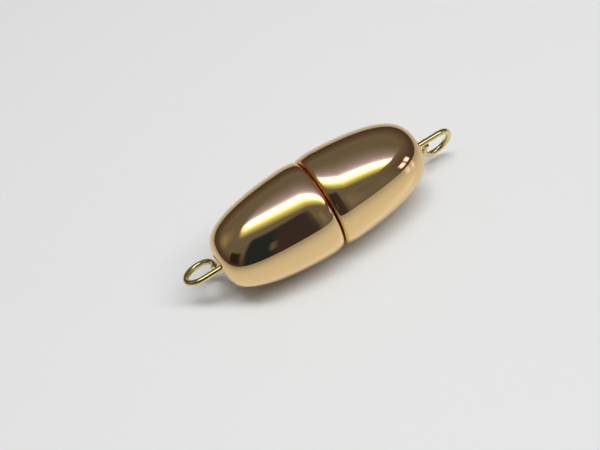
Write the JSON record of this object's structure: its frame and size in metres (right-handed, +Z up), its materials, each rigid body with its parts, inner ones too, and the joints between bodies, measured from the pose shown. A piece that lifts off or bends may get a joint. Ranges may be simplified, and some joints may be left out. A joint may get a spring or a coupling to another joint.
{
  "type": "screw clasp",
  "caption": "Polished olive-shaped screw clasp for a necklace: a threaded socket half and stud half that meet at a fine seam, each with a swivelling wire eye.",
  "frame": {"origin": "on the resting surface, below the middle of the barrel: X = 0 is the seam, Z = 0 the surface that the barrel's belly lies on", "axes": "+X along the clasp from the socket half to the stud half, +Z up, -Y towards the viewer"},
  "size_m": [0.0252, 0.008, 0.008],
  "materials": {
    "polished_gold": "mirror-polished yellow-rose gold plate",
    "turned_gold": "fine turned, gold plated",
    "gold_wire": "polished drawn wire, pale gold plate"
  },
  "bodies": {
    "socket_half": {"socket_shell": "polished_gold", "socket_bush": "turned_gold"},
    "socket_eye": {"socket_eye": "gold_wire"},
    "stud_eye": {"stud_eye": "gold_wire"},
    "stud_half": {"stud_shell": "polished_gold", "stud_screw": "turned_gold"}
  },
  "joints": [
    {"name": "socket_eye_swivel", "type": "hinge", "parent": "socket_half", "child": "socket_eye", "pos_m": [-0.009, 0, 0.0036], "axis": [1, 0, 0], "continuous": true},
    {"name": "back_out", "type": "slide", "parent": "socket_half", "child": "stud_eye", "axis": [1, 0, 0], "range_m": [0, 0.00275]},
    {"name": "unscrew", "type": "hinge", "parent": "stud_eye", "child": "stud_half", "pos_m": [0, 0, 0.004], "axis": [1, 0, 0], "range_deg": [0, 1980]}
  ],
  "couplings": [
    {"joint": "unscrew", "follows": "back_out", "rad_per_m": 12566}
  ]
}
